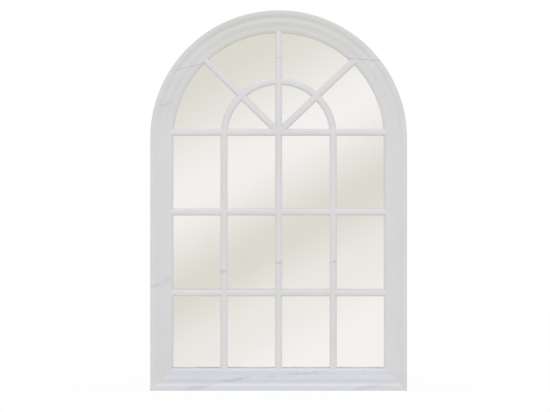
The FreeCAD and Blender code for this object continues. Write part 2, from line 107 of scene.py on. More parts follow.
# How the marble's pattern wavers and how ragged its veins are, each as a size and a distance
WAVER = (1.0 / 9.0, 0.018)
RAGGED = (0.014, 0.006)

# The paler gaps in the veins: their size, and how the noise there becomes strength
VEIN_GAPS = 0.012
VEIN_BREAKS = (0.35, 0.60, 0.45, 1.10)

# Painted shade on the marble, a dark line given a dusty colour in the corner by the mirror: how far in front
# of the mirror it is full and gone, how much a face must look up to hold it, at which heights above the
# bottom edge it thins out, and the patches in which it lies
SHADE_EDGE = (0.0090, 0.0130)
SHADE_FACING = (-0.20, 0.60)
SHADE_HEIGHT = (0.25, 0.80)
SHADE_PATCH, SHADE_PATCHES = 0.05, (0.3, 0.6, 0.35, 1.0)

# Painted shade on the mirror, a dark line given a dusty colour: the ledges it lies above, with its share and
# its width there, and the heights between which the line along the jambs thins to the line along the crown,
# what is left of it there, and its patches
LEDGE_SHADE = {"bottom_rail": (0.92, 0.0050), "lower_cross_bar": (0.40, 0.0036),
              "upper_cross_bar": (0.15, 0.0036)}
JAMB_SHADE_THINS = (0.82, 1.08)
CROWN_SHADE = 0.60
GLASS_SHADE_PATCH, GLASS_SHADE_PATCHES = 0.06, (0.3, 0.6, 0.5, 1.0)

# The mirror sheet: its ripples, a faint haze of the silvering, and patches of lesser polish
RIPPLE_STRETCH = (1.0, 1.0, 2.5)
RIPPLE_RELIEF = 0.00006
HAZE_SIZE, HAZE_BAND, HAZE_TONE = 0.4, (0.35, 0.65), 0.99
POLISH_PATCH, POLISH_BAND = 0.05, (0.4, 0.7)

# Where the crown and the rail pass from the jambs' tone to their own, which is partly the stone's tone and
# partly a painted colour cast of the light, warmer on the crown and bluer on the rail: height, and distance
# from the middle
CROWN_TONE_AND_CAST = ("Z", BOTTOM + 1.040, BOTTOM + 1.170)
RAIL_TONE_AND_CAST = ("X", 0.400, 0.290)

# The marble's clouds and streaks: how they are stretched, how steeply they rise to the right in degrees, and
# the noise at which they start and are full; a streak's size and strength as shares of a cloud's
CLOUD_STRETCH, CLOUD_RISE, CLOUD_BAND = (2.2, 1.0, 1.0), 20.0, (0.42, 0.72)
STREAK_STRETCH, STREAK_RISE, STREAK_BAND = (5.0, 1.0, 1.0), 14.0, (0.52, 0.78)
STREAK_SIZE = 0.2
STREAK_SHARE = 0.4

# The marble's crystals, how they lighten the tone, and its honed gloss in patches
CRYSTAL_LIFT = (0.3, 0.7, 0.975, 1.025)
CRYSTAL_RELIEF = 0.00002
HONED_PATCH, HONED_BAND, HONED_SPREAD = 0.035, (0.3, 0.7), (-0.04, 0.05)
MARBLE_IOR = 1.6

# Sawn back of the marble: how deep it shows, how much it hides and roughens the stone, how steeply the marks
# rise in degrees, and how deep they are next to the crystals
SAWN_REACH = 0.0004
SAWN_SHARE = 0.75
SAWN_ROUGHER = 0.3
SAW_RISE = 62.0
SAW_RELIEF = 6.0
WAVE_PERIOD = 0.314             # scale of a wave texture that repeats once in a metre

# Fibres of the backing board: how they curl, as a size and a distance, the ways in which they lie in degrees,
# their size and shape, and how they turn to colour and to roughness; then its blotches and its pale flecks
FIBRE_CURL = (0.012, 0.006)
FIBRE_RISES = (-64.0, -23.0, 8.0, 41.0, 83.0)
FIBRE_SIZE, FIBRE_STRETCH, FIBRE_RELIEF = 0.0012, (7.0, 1.0, 1.0), 0.00012
FIBRE_BAND, FIBRE_GLOSS = (0.50, 0.85), (0.3, 0.8, 0.62, 0.8)
BLOTCH_SIZE, BLOTCHES = 0.09, (0.35, 0.7, 0.0, 0.4)
FLECK_SIZE, FLECK_BAND, FLECK_SHARE = 0.0025, (0.68, 0.8), 0.6

# Metal: its cloudy patches and fine scratches, and how both change its gloss
PATCH_BAND, PATCH_TONE = (0.35, 0.65), 0.86
SCRATCH_SIZE, SCRATCH_STRETCH, SCRATCH_SHARE, SCRATCH_RELIEF = 0.0006, (1.0, 1.0, 16.0), 0.4, 0.000015
METAL_BAND, METAL_SPREAD = (0.4, 0.9), (-0.06, 0.1)

# Moulded pieces: how much wider the drift of their tone is than their grain, and how the grain changes gloss
DRIFT_SIZE, DRIFT_BAND, DRIFT_TONE = 14, (0.35, 0.65), 0.88
GRAIN_BAND, GRAIN_SPREAD, GRAIN_RELIEF = (0.3, 0.7), (-0.05, 0.06), 0.00004

# Roughness of each metal or moulded finish, and the size of its patches or grain
STRAP_FINISH = (0.34, 0.006)
RING_FINISH = (0.34, 0.004)
SCREW_FINISH = (0.34, 0.003)
ROD_FINISH = (0.36, 0.005)
RESIN_FINISH = (0.55, 0.0008)
NYLON_FINISH = (0.50, 0.0007)
RUBBER_FINISH = (0.72, 0.0006)

# The room that the mirror shows: tangents of the view angle along a slant line, and how light it is there
ROOM_SLANT = (0.4848, 0.0, -0.8746)
ROOM_TONES = ((-0.0405, 0.0), (-0.0130, 1.0), (0.0085, 0.0), (0.0240, 0.62), (0.0390, 1.0), (0.0525, 1.0))

# Distances from the middle of the floor, and how much of it is white to the eye there; its patches of tone,
# and the sides of its round edge
FLOOR_FADE = (0.45, 1.50, 0.93, 1.00)
FLOOR_PATCH, FLOOR_BAND, FLOOR_TONE = 0.3, (0.3, 0.7), 0.985
FLOOR_SIDES = 96

# Slope of the view at which the fill light from below passes to that from above
FILL_BAND = (-0.5, 0.5)

# Vertices of one screw lie this near to each other, and this cube trims the dome of a pan head
SCREW_REACH = 0.0085
TRIM_CUBE = 0.020
DOME_RINGS = 24


def colour(name, description, default):
    return FloatVectorProperty(name=name, description=description, default=default, size=3,
                               min=0.0, max=1.0, subtype="COLOR")


def length(name, description, default):
    return FloatProperty(name=name, description=description, default=default, min=0.0, unit="LENGTH",
                         precision=4)


def share(name, description, default):
    return FloatProperty(name=name, description=description, default=default, min=0.0, max=1.0,
                         subtype="FACTOR")


class MarbleSettings(PropertyGroup):
    jamb: colour("Jambs", "Main colour of the two jambs", (0.718, 0.716, 0.729))
    # Crown and rail: partly the stone's tone, partly a painted colour cast, warmer on the crown, bluer on the
    # rail
    crown: colour("Crown", "Main colour of the crown of the arch", (0.686, 0.689, 0.664))
    rail: colour("Rail", "Main colour of the bottom rail", (0.698, 0.717, 0.766))
    bar: colour("Bars", "Main colour of the glazing bars", (0.742, 0.734, 0.744))
    vein: colour("Veins", "Colour of the veins", (0.400, 0.405, 0.400))
    sawn: colour("Sawn back", "Colour of the sawn back", (0.600, 0.600, 0.585))
    # Painted shade: colour and share of the dark line in the corner by the mirror, on the marble and the
    # glass
    painted_shade: colour("Dust", "Colour of the dust in the corner on the mirror", (0.420, 0.390, 0.330))
    cloud_depth: share("Cloud depth", "How much darker the soft clouds are", 0.045)
    shade_share: share("Dust share", "How much of the dust shows", 0.35)
    cloud_size: length("Cloud size", "Size of one cloud", 0.16)
    crystal_size: length("Crystal size", "Size of one crystal", 0.0012)
    saw_pitch: length("Saw pitch", "Distance between the saw marks on the back", 0.0035)
    roughness: share("Roughness", "Roughness of the honed faces", 0.33)


class MirrorSettings(PropertyGroup):
    silver: colour("Silver", "Colour of the silvering seen through the glass", (0.930, 0.925, 0.900))
    roughness: share("Roughness", "Roughness of the polished glass", 0.015)
    ripple_size: length("Ripple", "Distance between the faint ripples of the sheet", 0.22)
    # Painted shade on the glass: colours, share and width of the dark line along the frame and the ledges
    painted_shade: colour("Dust", "Colour of the line of dust along the frame", (0.420, 0.390, 0.330))
    ledge_shade: colour("Ledge dust", "Colour of the dust above the rail and the cross bars",
                       (0.400, 0.400, 0.430))
    shade_share: share("Dust share", "How much of the line of dust shows", 0.45)
    shade_line: length("Dust line", "Width of the line of dust", 0.0036)
    covered: length("Covered edge", "How far the sheet runs on under the frame", 0.0090)


class BackSettings(PropertyGroup):
    board_pale: colour("Board fibres", "Colour of the pale fibres", (0.330, 0.215, 0.120))
    board_dark: colour("Board ground", "Colour of the pressed ground", (0.185, 0.110, 0.060))
    zinc: colour("Zinc", "Colour of the zinc plate", (0.640, 0.650, 0.665))
    steel: colour("Steel", "Colour of the dowels and pins", (0.560, 0.560, 0.570))
    nylon: colour("Nylon", "Colour of the plugs", (0.620, 0.615, 0.570))
    resin: colour("Resin", "Colour of the crown joints", (0.330, 0.330, 0.320))
    rubber: colour("Rubber", "Colour of the wall bumpers", (0.030, 0.030, 0.032))


class ScrewSettings(PropertyGroup):
    recess_span: share("Recess span", "Span of the cross recess as a share of the head", 0.58)
    recess_width: share("Recess width", "Width of one slot as a share of the head", 0.15)
    recess_depth: share("Recess depth", "Depth of the recess as a share of the head's height", 0.62)
    board_head: length("Board screw head", "Height of a board screw's head", 0.0022)
    board_shank: length("Board screw shank", "Radius of a board screw's shank", 0.00175)
    hanger_head: length("Hanger screw head", "Height of a hanger screw's head", 0.0023)
    hanger_shank: length("Hanger screw shank", "Radius of a hanger screw's shank", 0.0020)
    sides: IntProperty(name="Sides", description="Sides of the round heads", default=40, min=12, max=96)
    seed: IntProperty(name="Seed", description="Seed of the turn of each screw", default=11, min=0)


class StageSettings(PropertyGroup):
    floor: colour("Floor", "Colour of the floor", (0.930, 0.920, 0.900))
    floor_glow: colour("Floor glow", "Light that the floor throws back", (0.885, 0.870, 0.740))
    floor_radius: length("Floor radius", "Radius of the round floor", 4.0)
    fill_above: colour("Fill above", "Light from above, on all sides", (0.880, 0.880, 0.985))
    fill_below: colour("Fill below", "Light from below, on all sides", (0.862, 0.850, 0.728))
    key: colour("Key light", "Colour of the light from above", (0.846, 0.858, 1.000))
    key_power: FloatProperty(name="Key power", description="Power of the light from above", default=54.0,
                             min=0.0, unit="POWER")
    key_forward: length("Key forward", "Light in front of the mirror", 3.6)
    key_above: length("Key above", "Light above the middle of the mirror", 4.2)
    key_width: length("Key width", "Width of the light", 4.0)
    key_depth: length("Key depth", "Depth of the light", 0.9)
    room_light: colour("Room light", "Lightest tone that the mirror shows", (0.972, 0.955, 0.958))
    room_dark: colour("Room dark", "Darkest tone that the mirror shows", (0.772, 0.755, 0.697))
    view_width: length("View width", "Width of the picture at the frame's face", 1.734)
    view_x: FloatProperty(name="View X", description="Middle of the picture, sideways", default=-0.0114,
                          unit="LENGTH")
    view_height: length("View height", "Middle of the picture above the bottom edge", 0.5824)
    distance: length("Camera distance", "From the camera to the frame's face", 12.0)


class WindowMirrorSettings(PropertyGroup):
    marble: PointerProperty(type=MarbleSettings)
    mirror: PointerProperty(type=MirrorSettings)
    back: PointerProperty(type=BackSettings)
    screws: PointerProperty(type=ScrewSettings)
    stage: PointerProperty(type=StageSettings)


# Helpers for node trees

BLACK = (0.0, 0.0, 0.0, 1.0)
WHITE = (1.0, 1.0, 1.0, 1.0)
NOISE_ROUGHNESS = 0.55


def add(tree, kind, inputs=None, **settings):
    """A new node. Inputs hold values, or sockets to link from."""
    node = tree.nodes.new(kind)
    for name, value in settings.items():
        setattr(node, name, value)
    for socket, value in (inputs or {}).items():
        if isinstance(value, bpy.types.NodeSocket):
            tree.links.new(value, node.inputs[socket])
        else:
            node.inputs[socket].default_value = value
    return node


def rgba(value, share_kept=1.0):
    """A colour with its alpha, darkened to a share of itself."""
    return (*[channel * share_kept for channel in value], 1.0)


def maths(tree, operation, first, second=0.0, third=0.0):
    return add(tree, "ShaderNodeMath", {0: first, 1: second, 2: third}, operation=operation).outputs[0]


def blend_colour(tree, factor, first, second):
    return add(tree, "ShaderNodeMix", {0: factor, 6: first, 7: second}, data_type="RGBA").outputs[2]


def span(tree, value, low, high, to_low=0.0, to_high=1.0):
    """A value from low to high, spread over another range with soft ends."""
    node = add(tree, "ShaderNodeMapRange", {0: value, 1: low, 2: high, 3: to_low, 4: to_high},
               interpolation_type="SMOOTHSTEP")
    return node.outputs[0]


def noise(tree, coordinates, size, detail=4.0):
    """Noise whose features have about the given size in metres."""
    node = add(tree, "ShaderNodeTexNoise", {"Vector": coordinates, "Scale": 1.0 / size, "Detail": detail,
                                            "Roughness": NOISE_ROUGHNESS})
    return node.outputs["Fac"]


def object_coordinates(tree):
    return add(tree, "ShaderNodeTexCoord").outputs["Object"]


def stretched(tree, coordinates, stretch, rise=0.0):
    """Coordinates for a pattern stretched along its own axes, whose X axis rises to the right by degrees."""
    node = add(tree, "ShaderNodeMapping", {"Vector": coordinates, "Rotation": (0.0, -math.radians(rise), 0.0),
                                           "Scale": stretch}, vector_type="TEXTURE")
    return node.outputs[0]


def bump(tree, height, depth):
    """A normal from a height of 0 to 1, with the real depth in metres."""
    return add(tree, "ShaderNodeBump", {"Height": height, "Distance": depth, "Strength": 1.0}).outputs[0]


def new_material(name):
    """A material with an empty tree, its shader and its output."""
    material = bpy.data.materials.new(name)
    material.use_nodes = True
    tree = material.node_tree
    tree.nodes.clear()
    shader = add(tree, "ShaderNodeBsdfPrincipled")
    add(tree, "ShaderNodeOutputMaterial", {"Surface": shader.outputs[0]})
    return material, tree, shader


def plug(tree, shader, **sockets):
    """Set or link the shader's sockets, written with _ for a space."""
    for name, value in sockets.items():
        target = shader.inputs[name.replace("_", " ")]
        if isinstance(value, bpy.types.NodeSocket):
            tree.links.new(value, target)
        else:
            target.default_value = value


# Finishes

def vein_mask(tree, coordinates, start, end, half_width):
    """A long lens between two (x, height) points that runs through the whole thickness."""
    run = Vector((end[0] - start[0], end[1] - start[1]))
    middle = ((start[0] + end[0]) / 2, 0.0, (start[1] + end[1]) / 2 + BOTTOM)
    turn = (0.0, -math.atan2(run.y, run.x), 0.0)
    through = CAD_HIGH.z - CAD_LOW.z
    mapped = add(tree, "ShaderNodeMapping", {"Vector": coordinates, "Location": middle, "Rotation": turn,
                                             "Scale": (run.length / 2, through, half_width)},
                 vector_type="TEXTURE")
    return add(tree, "ShaderNodeTexGradient", {"Vector": mapped.outputs[0]},
               gradient_type="SPHERICAL").outputs["Fac"]


def wavering(tree, coordinates, waves):
    """Coordinates that waver by a distance, in waves of about a given size."""
    size, reach = waves
    waver = add(tree, "ShaderNodeTexNoise", {"Vector": coordinates, "Scale": 1.0 / size, "Detail": 1.0})
    centred = add(tree, "ShaderNodeVectorMath", {0: waver.outputs["Color"], 1: (0.5, 0.5, 0.5)},
                  operation="SUBTRACT")
    offset = add(tree, "ShaderNodeVectorMath", {0: centred.outputs[0], "Scale": reach}, operation="SCALE")
    return add(tree, "ShaderNodeVectorMath", {0: coordinates, 1: offset.outputs[0]}).outputs[0]


def marble_material(name, ground, settings, drift=None):
    """Honed white marble: soft clouds, a few grey veins that run on from piece to piece, fine crystals,
    painted shade as a dark, dusty-coloured line in the corner on the mirror, and a sawn back. With a drift
    along an axis, the tone starts as the jambs' tone and passes to the ground, which on the crown and the
    rail is partly the stone's tone and partly a painted colour cast of the light."""
    material, tree, shader = new_material(name)
    flat = object_coordinates(tree)
    place = add(tree, "ShaderNodeSeparateXYZ", {0: flat}).outputs
    depth = place["Y"]
    warped = wavering(tree, flat, WAVER)
    ragged = wavering(tree, warped, RAGGED)

    cloudy = noise(tree, stretched(tree, warped, CLOUD_STRETCH, CLOUD_RISE), settings.cloud_size)
    streaky = noise(tree, stretched(tree, warped, STREAK_STRETCH, STREAK_RISE),
                    settings.cloud_size * STREAK_SIZE)
    streaks = maths(tree, "MULTIPLY", span(tree, streaky, *STREAK_BAND), STREAK_SHARE)
    shade = maths(tree, "MAXIMUM", span(tree, cloudy, *CLOUD_BAND), streaks)
    veins = 0.0
    for start, end, half_width, strength in VEINS:
        mask = vein_mask(tree, ragged, start, end, half_width)
        veins = maths(tree, "MAXIMUM", veins, maths(tree, "MULTIPLY", mask, strength))
    broken = span(tree, noise(tree, flat, VEIN_GAPS, detail=3.0), *VEIN_BREAKS)
    veins = maths(tree, "MULTIPLY", veins, broken)
    crystals = noise(tree, flat, settings.crystal_size, detail=2.0)

    tone = rgba(ground)
    if drift:
        axis, starts, ends = drift
        # The crown's and the rail's ground: partly their stone's tone, partly a painted colour cast of the
        # light
        own = span(tree, maths(tree, "ABSOLUTE", place[axis]), starts, ends)
        tone = blend_colour(tree, own, rgba(settings.jamb), tone)
    stone = blend_colour(tree, maths(tree, "MULTIPLY", shade, settings.cloud_depth), tone, BLACK)
    stone = blend_colour(tree, veins, stone, rgba(settings.vein))
    # Painted shade: the corner by the mirror is darkened on faces that look up, more so lower down
    facing = add(tree, "ShaderNodeSeparateXYZ", {0: add(tree, "ShaderNodeNewGeometry").outputs["Normal"]})
    ledge = span(tree, facing.outputs["Z"], *SHADE_FACING)
    full, gone = (GLASS_LOW.y - reach for reach in SHADE_EDGE)
    corner = span(tree, depth, gone, full, 0.0, settings.shade_share)
    thick, thin = (BOTTOM + height for height in SHADE_HEIGHT)
    low_down = span(tree, place["Z"], thick, thin, 1.0, 0.0)
    corner = maths(tree, "MULTIPLY", corner, maths(tree, "MULTIPLY", ledge, low_down))
    corner_shade = maths(tree, "MULTIPLY", corner, span(tree, noise(tree, flat, SHADE_PATCH), *SHADE_PATCHES))
    stone = blend_colour(tree, corner_shade, stone, rgba(settings.painted_shade))

    sawn = span(tree, depth, FRAME_BACK - SAWN_REACH, FRAME_BACK - SAWN_REACH / 4)
    marks = add(tree, "ShaderNodeTexWave", {"Vector": stretched(tree, flat, (1.0, 1.0, 1.0), SAW_RISE),
                                            "Scale": WAVE_PERIOD / settings.saw_pitch, "Distortion": 3.0,
                                            "Detail": 2.0, "Detail Scale": 0.4}).outputs["Fac"]
    cut = maths(tree, "MULTIPLY", marks, sawn)
    stone = blend_colour(tree, maths(tree, "MULTIPLY", sawn, SAWN_SHARE), stone, rgba(settings.sawn))
    lift = span(tree, crystals, *CRYSTAL_LIFT)
    base = add(tree, "ShaderNodeVectorMath", {0: stone, "Scale": lift}, operation="SCALE").outputs[0]
    honed = span(tree, noise(tree, flat, HONED_PATCH, detail=3.0), *HONED_BAND,
                 *(settings.roughness + spread for spread in HONED_SPREAD))
    gloss = maths(tree, "MULTIPLY_ADD", sawn, SAWN_ROUGHER, honed)
    relief = maths(tree, "MULTIPLY_ADD", cut, SAW_RELIEF, crystals)
    plug(tree, shader, Base_Color=base, Roughness=gloss, Normal=bump(tree, relief, CRYSTAL_RELIEF),
         IOR=MARBLE_IOR)
    return material


def from_glass_edge(tree, coordinates):
    """Distance from the edge of the arched mirror sheet."""
    half = GLASS_HIGH.x
    spring = GLASS_HIGH.z - half
    place = add(tree, "ShaderNodeSeparateXYZ", {0: coordinates}).outputs
    rise = maths(tree, "MAXIMUM", maths(tree, "SUBTRACT", place["Z"], spring), 0.0)
    spoke = add(tree, "ShaderNodeCombineXYZ", {"X": place["X"], "Y": rise}).outputs[0]
    out = add(tree, "ShaderNodeVectorMath", {0: spoke}, operation="LENGTH").outputs["Value"]
    return maths(tree, "MINIMUM", maths(tree, "SUBTRACT", half, out),
                 maths(tree, "SUBTRACT", place["Z"], GLASS_LOW.z))


def mirror_material(settings):
    """Silvered glass, with the faint ripples of a float sheet and painted shade: a dark, dusty-coloured line
    along the frame and above the ledges.
    """
    material, tree, shader = new_material("silvered_glass")
    flat = object_coordinates(tree)
    ripples = noise(tree, stretched(tree, flat, RIPPLE_STRETCH), settings.ripple_size, detail=1.0)
    haze = span(tree, noise(tree, flat, HAZE_SIZE, detail=2.0), *HAZE_BAND)
    silver = blend_colour(tree, haze, rgba(settings.silver), rgba(settings.silver, HAZE_TONE))
    # Painted shade: a dark line on the glass along the frame, thinner on the crown, and above the ledges
    line = span(tree, from_glass_edge(tree, flat), settings.covered, settings.covered + settings.shade_line,
                settings.shade_share, 0.0)
    height = add(tree, "ShaderNodeSeparateXYZ", {0: flat}).outputs["Z"]
    thick, thin = (BOTTOM + each for each in JAMB_SHADE_THINS)
    line = maths(tree, "MULTIPLY", line, span(tree, height, thick, thin, 1.0, CROWN_SHADE))
    uneven = span(tree, noise(tree, flat, GLASS_SHADE_PATCH), *GLASS_SHADE_PATCHES)
    silver = blend_colour(tree, maths(tree, "MULTIPLY", line, uneven), silver, rgba(settings.painted_shade))
    ledges = 0.0
    for node, (amount, width) in LEDGE_SHADE.items():
        above = maths(tree, "ABSOLUTE", maths(tree, "SUBTRACT", height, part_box(node)[1].z))
        ledges = maths(tree, "MAXIMUM", ledges, span(tree, above, 0.0, width, amount, 0.0))
    silver = blend_colour(tree, maths(tree, "MULTIPLY", ledges, uneven), silver,
                          rgba(settings.ledge_shade))
    gloss = span(tree, noise(tree, flat, POLISH_PATCH, detail=3.0), *POLISH_BAND, settings.roughness,
                 settings.roughness * 2)
    plug(tree, shader, Base_Color=silver, Metallic=1.0, Roughness=gloss,
         Normal=bump(tree, ripples, RIPPLE_RELIEF))
    return material


def board_material(settings):
    """Hardboard: pressed fibres in all directions, with pale and dark flecks."""
    material, tree, shader = new_material("hardboard")
    flat = object_coordinates(tree)
    curled = wavering(tree, flat, FIBRE_CURL)
    fibres = 0.0
    for rise in FIBRE_RISES:
        laid = noise(tree, stretched(tree, curled, FIBRE_STRETCH, rise), FIBRE_SIZE, detail=3.0)
        fibres = maths(tree, "MAXIMUM", fibres, laid)
    dark, pale = rgba(settings.board_dark), rgba(settings.board_pale)
    blotches = span(tree, noise(tree, flat, BLOTCH_SIZE), *BLOTCHES)
    flecks = span(tree, noise(tree, flat, FLECK_SIZE, detail=2.0), *FLECK_BAND)
    ground = blend_colour(tree, span(tree, fibres, *FIBRE_BAND), dark, pale)
    ground = blend_colour(tree, blotches, ground, dark)
    base = blend_colour(tree, maths(tree, "MULTIPLY", flecks, FLECK_SHARE), ground, pale)
    plug(tree, shader, Base_Color=base, Roughness=span(tree, fibres, *FIBRE_GLOSS),
         Normal=bump(tree, fibres, FIBRE_RELIEF))
    return material


def metal_material(name, base, roughness, patch_size):
    """Plated or drawn metal: cloudy patches in colour and gloss, with fine scratches."""
    material, tree, shader = new_material(name)
    flat = object_coordinates(tree)
    patches = noise(tree, flat, patch_size)
    scratches = noise(tree, stretched(tree, flat, SCRATCH_STRETCH), SCRATCH_SIZE, detail=2.0)
    tone = blend_colour(tree, span(tree, patches, *PATCH_BAND), rgba(base), rgba(base, PATCH_TONE))
    wear = maths(tree, "ADD", patches, maths(tree, "MULTIPLY", scratches, SCRATCH_SHARE))
    gloss = span(tree, wear, *METAL_BAND, *(roughness + spread for spread in METAL_SPREAD))
    plug(tree, shader, Base_Color=tone, Metallic=1.0, Roughness=gloss,
         Normal=bump(tree, scratches, SCRATCH_RELIEF))
    return material


def moulded_material(name, base, roughness, grain_size):
    """Moulded resin, nylon or rubber: a fine grain and a slight unevenness of tone."""
    material, tree, shader = new_material(name)
    flat = object_coordinates(tree)
    grain = noise(tree, flat, grain_size, detail=3.0)
    drift = noise(tree, flat, grain_size * DRIFT_SIZE, detail=3.0)
    tone = blend_colour(tree, span(tree, drift, *DRIFT_BAND), rgba(base), rgba(base, DRIFT_TONE))
    gloss = span(tree, grain, *GRAIN_BAND, *(roughness + spread for spread in GRAIN_SPREAD))
    plug(tree, shader, Base_Color=tone, Roughness=gloss, Normal=bump(tree, grain, GRAIN_RELIEF))
    return material


def dress(nodes, material):
    """Give CAD nodes a finish."""
    for node in nodes:
        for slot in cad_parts[node].material_slots:
            slot.material = material


# Screws

def solid_places(node):
    """Middle and radius, across Y, of each of the round solids that share a CAD node."""
    groups = []
    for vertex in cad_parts[node].data.vertices:
        near = [group for group in groups
                if max(abs(vertex.co.x - group[0].x), abs(vertex.co.z - group[0].z)) < SCREW_REACH]
        if near:
            near[0].append(vertex.co)
        else:
            groups.append([vertex.co])
    places = []
    for group in groups:
        xs = [co.x for co in group]
        zs = [co.z for co in group]
        places.append(((min(xs) + max(xs)) / 2, (min(zs) + max(zs)) / 2, (max(xs) - min(xs)) / 2))
    return places


SCREW_INPUTS = ("Head Radius", "Head Height", "Shank Radius", "Shank Length", "Recess Span", "Recess Width",
                "Recess Depth")


def screw_tree(name, countersunk):
    """Geometry nodes that put one cross-recess screw, turned at random, on each point."""
    tree = bpy.data.node_groups.new(name, "GeometryNodeTree")
    tree.interface.new_socket("Geometry", in_out="INPUT", socket_type="NodeSocketGeometry")
    for socket in SCREW_INPUTS:
        tree.interface.new_socket(socket, in_out="INPUT", socket_type="NodeSocketFloat")
    for socket in ("Sides", "Seed"):
        tree.interface.new_socket(socket, in_out="INPUT", socket_type="NodeSocketInt")
    tree.interface.new_socket("Material", in_out="INPUT", socket_type="NodeSocketMaterial")
    tree.interface.new_socket("Geometry", in_out="OUTPUT", socket_type="NodeSocketGeometry")
    given = add(tree, "NodeGroupInput").outputs

    def moved(mesh, height, scale=(1.0, 1.0, 1.0), turn=0.0):
        place = add(tree, "ShaderNodeCombineXYZ", {"Z": height}).outputs[0]
        node = add(tree, "GeometryNodeTransform", {"Geometry": mesh, "Translation": place, "Scale": scale,
                                                   "Rotation": (0.0, 0.0, turn)})
        return node.outputs[0]

    if countersunk:
        cone = add(tree, "GeometryNodeMeshCone", {"Vertices": given["Sides"],
                                                  "Radius Top": given["Head Radius"],
                                                  "Radius Bottom": given["Shank Radius"],
                                                  "Depth": given["Head Height"]}).outputs["Mesh"]
        head = moved(cone, maths(tree, "MULTIPLY", given["Head Height"], -1.0))
        face = 0.0
    else:
        ball = add(tree, "GeometryNodeMeshUVSphere", {"Segments": given["Sides"],
                                                      "Rings": DOME_RINGS}).outputs["Mesh"]
        dome_scale = add(tree, "ShaderNodeCombineXYZ", {"X": given["Head Radius"], "Y": given["Head Radius"],
                                                        "Z": given["Head Height"]}).outputs[0]
        dome = moved(ball, 0.0, dome_scale)
        below = add(tree, "GeometryNodeMeshCube", {"Size": (TRIM_CUBE,) * 3}).outputs["Mesh"]
        head = add(tree, "GeometryNodeMeshBoolean", {0: dome, 1: moved(below, -TRIM_CUBE / 2)},
                   operation="DIFFERENCE", solver="EXACT").outputs[0]
        face = given["Head Height"]

    def twice(share_input, size_input):
        return maths(tree, "MULTIPLY", maths(tree, "MULTIPLY", given[share_input], given[size_input]), 2.0)

    slot_size = add(tree, "ShaderNodeCombineXYZ", {"X": twice("Recess Span", "Head Radius"),
                                                   "Y": twice("Recess Width", "Head Radius"),
                                                   "Z": twice("Recess Depth", "Head Height")}).outputs[0]
    blade = add(tree, "GeometryNodeMeshCube", {"Size": slot_size}).outputs["Mesh"]
    cutters = add(tree, "GeometryNodeJoinGeometry")
    for turn in (0.0, math.pi / 2):
        tree.links.new(moved(blade, face, turn=turn), cutters.inputs[0])
    recessed = add(tree, "GeometryNodeMeshBoolean", {0: head, 1: cutters.outputs[0],
                                                     "Self Intersection": True},
                   operation="DIFFERENCE", solver="EXACT")

    shank = add(tree, "GeometryNodeMeshCylinder", {"Vertices": given["Sides"],
                                                   "Radius": given["Shank Radius"],
                                                   "Depth": given["Shank Length"]}).outputs["Mesh"]
    half_way = maths(tree, "MULTIPLY", given["Shank Length"], -0.5)
    drop = maths(tree, "SUBTRACT", half_way, given["Head Height"]) if countersunk else half_way
    whole = add(tree, "GeometryNodeJoinGeometry")
    for mesh in (recessed.outputs[0], moved(shank, drop)):
        tree.links.new(mesh, whole.inputs[0])

    spin = add(tree, "FunctionNodeRandomValue", {2: 0.0, 3: 2 * math.pi, "Seed": given["Seed"]})
    facing = add(tree, "ShaderNodeCombineXYZ", {"X": -math.pi / 2, "Y": spin.outputs[1]}).outputs[0]
    rotation = add(tree, "FunctionNodeEulerToRotation", {0: facing}).outputs[0]
    copies = add(tree, "GeometryNodeInstanceOnPoints", {"Points": given["Geometry"],
                                                        "Instance": whole.outputs[0], "Rotation": rotation})
    real = add(tree, "GeometryNodeRealizeInstances", {0: copies.outputs[0]})
    finished = add(tree, "GeometryNodeSetMaterial", {"Geometry": real.outputs[0],
                                                     "Material": given["Material"]})
    add(tree, "NodeGroupOutput", {0: finished.outputs[0]})
    return tree


def screw_set(name, node, sizes, countersunk, material):
    """All screws of one kind as one plain mesh that stands for their CAD node."""
    places = solid_places(node)
    low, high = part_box(node)
    head = sizes["Head Height"]
    seat = high.y if countersunk else high.y - head
    points = bpy.data.meshes.new(name + "_points")
    points.from_pydata([(x, seat, z) for x, z, _ in places], [], [])
    seeds = bpy.data.objects.new(name, points)
    bpy.context.scene.collection.objects.link(seeds)
    tree = screw_tree(name + "_nodes", countersunk)
    modifier = seeds.modifiers.new("screws", "NODES")
    modifier.node_group = tree
    values = {**sizes, "Head Radius": places[0][2], "Shank Length": high.y - low.y - head,
              "Material": material}
    for item in tree.interface.items_tree:
        if item.in_out == "INPUT" and item.name in values:
            modifier[item.identifier] = values[item.name]
    graph = bpy.context.evaluated_depsgraph_get()
    mesh = bpy.data.meshes.new_from_object(seeds.evaluated_get(graph))
    if not mesh.polygons:
        raise RuntimeError(name + " came out empty")
    seeds.modifiers.clear()
    seeds.data = mesh
    bpy.data.meshes.remove(points)
    mesh.name = name
    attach(seeds, BODY)
    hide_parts(node)


# Operators

def settings_of(context):
    return context.scene.window_mirror


class DressMarble(Operator):
    """Give the frame members and the glazing bars one marble whose veins run on from piece to piece"""
    bl_idname = "window_mirror.dress_marble"
    bl_label = "Marble frame and bars"

    def execute(self, context):
        settings = settings_of(context).marble
        dress(JAMB_NODES, marble_material("jamb_marble", settings.jamb, settings))
        # Crown and rail: their ground is partly the stone's tone and partly a painted colour cast of the
        # light
        dress(("arch_crown",), marble_material("crown_marble", settings.crown, settings, CROWN_TONE_AND_CAST))
        dress(("bottom_rail",), marble_material("rail_marble", settings.rail, settings, RAIL_TONE_AND_CAST))
        dress(BAR_NODES, marble_material("bar_marble", settings.bar, settings))
        return {"FINISHED"}


class DressJoints(Operator):
    """Give the resin of the crown joints its grey finish"""
    bl_idname = "window_mirror.dress_joints"
    bl_label = "Crown joints"

    def execute(self, context):
        resin = settings_of(context).back.resin
        dress(("crown_joint_resin",), moulded_material("stone_resin", resin, *RESIN_FINISH))
        return {"FINISHED"}


